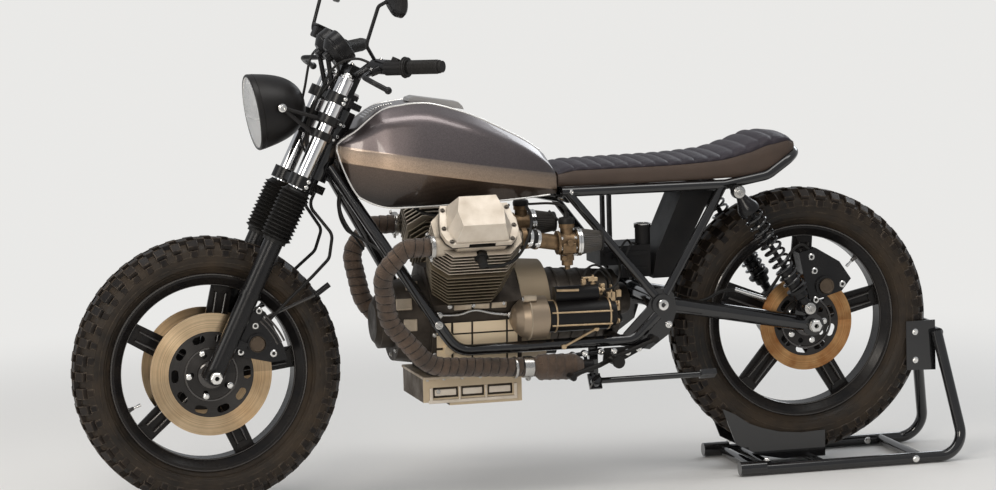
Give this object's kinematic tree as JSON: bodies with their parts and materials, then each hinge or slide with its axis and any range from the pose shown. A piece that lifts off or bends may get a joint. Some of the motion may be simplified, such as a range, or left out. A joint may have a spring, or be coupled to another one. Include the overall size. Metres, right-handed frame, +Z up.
{
  "type": "scrambler motorcycle standing in a wheel chock",
  "caption": "Scrambler motorcycle with a transverse V engine, knobbly tyres, angular tank and ribbed seat, standing in a tubular rear wheel chock.",
  "frame": {"origin": "on the floor under the middle of the bounding box", "axes": "+X forward, +Y to the rider's left, +Z up"},
  "size_m": [2.2501, 0.8419, 1.286],
  "materials": {
    "frame_paint": "satin black",
    "fork_paint": "satin black",
    "wheel_paint": "semi-gloss black",
    "tyre": "dusty",
    "disc_steel": "turned",
    "rusty_disc": "turned, surface rust",
    "chrome": "polished",
    "steel": "zinc plated",
    "tank_paint": "metallic grey bronze",
    "lid_alloy": "satin",
    "seat_leather": "padded, ribbed",
    "cast_alloy": "sand cast",
    "cover_alloy": "cast, blasted",
    "starter_black": "satin black",
    "carb_metal": "zinc alloy, aged",
    "filter_cloth": "oiled gauze",
    "pipe_wrap": "heat wrap",
    "black_plastic": "moulded",
    "rubber": "matt",
    "lamp_glass": "clear"
  },
  "bodies": {
    "chassis": {"head_stock": "frame_paint", "frame_cradle_left": "frame_paint", "frame_cradle_right": "frame_paint", "seat_rails": "frame_paint", "frame_stays": "frame_paint", "crankcase": "cast_alloy", "sump": "cast_alloy", "gearbox": "cast_alloy", "cylinder_left": "cast_alloy", "cylinder_right": "cast_alloy", "cylinder_head_left": "cast_alloy", "cylinder_head_right": "cast_alloy", "rocker_cover_left": "cover_alloy", "rocker_cover_right": "cover_alloy", "starter_motor": "starter_black", "carburettors": "carb_metal", "air_filters": "filter_cloth", "exhaust_left": "pipe_wrap", "exhaust_right": "pipe_wrap", "swingarm": "frame_paint", "bevel_drive": "fork_paint", "rear_shocks": "frame_paint", "rear_axle": "steel", "rear_caliper": "fork_paint", "fuel_tank": "tank_paint", "tank_lid": "lid_alloy", "seat": "seat_leather", "rear_fender": "black_plastic", "electrics": "black_plastic", "footrests": "rubber", "chock_base": "frame_paint", "chock_cradle": "frame_paint"},
    "steering": {"fork_yokes": "fork_paint", "fork_leg_left": "fork_paint", "fork_leg_right": "fork_paint", "fork_gaiters": "rubber", "front_axle": "steel", "headlamp_bowl": "fork_paint", "headlamp_glass": "lamp_glass", "handlebar": "fork_paint", "grips": "rubber", "hand_levers": "fork_paint", "mirrors": "fork_paint", "gauges": "fork_paint", "front_calipers": "fork_paint", "brake_hoses": "rubber"},
    "front_wheel": {"front_rim": "wheel_paint", "front_tyre": "tyre", "front_discs": "disc_steel"},
    "rear_wheel": {"rear_rim": "wheel_paint", "rear_tyre": "tyre", "rear_disc": "rusty_disc"},
    "side_stand": {"side_stand": "frame_paint"}
  },
  "joints": [
    {"name": "steering_head", "type": "hinge", "parent": "chassis", "child": "steering", "pos_m": [0.45893, 0, 0.86892], "axis": [-0.4462, 0, 0.8949], "range_deg": [-30, 30]},
    {"name": "front_wheel_axle", "type": "hinge", "parent": "steering", "child": "front_wheel", "pos_m": [0.783, 0, 0.331], "axis": [0, 1, 0], "continuous": true},
    {"name": "rear_wheel_axle", "type": "hinge", "parent": "chassis", "child": "rear_wheel", "pos_m": [-0.737, 0, 0.366], "axis": [0, 1, 0], "continuous": true},
    {"name": "side_stand_pivot", "type": "hinge", "parent": "chassis", "child": "side_stand", "pos_m": [-0.157, 0.166, 0.268], "axis": [0, -0.848, -0.5299], "range_deg": [0, 104]}
  ]
}
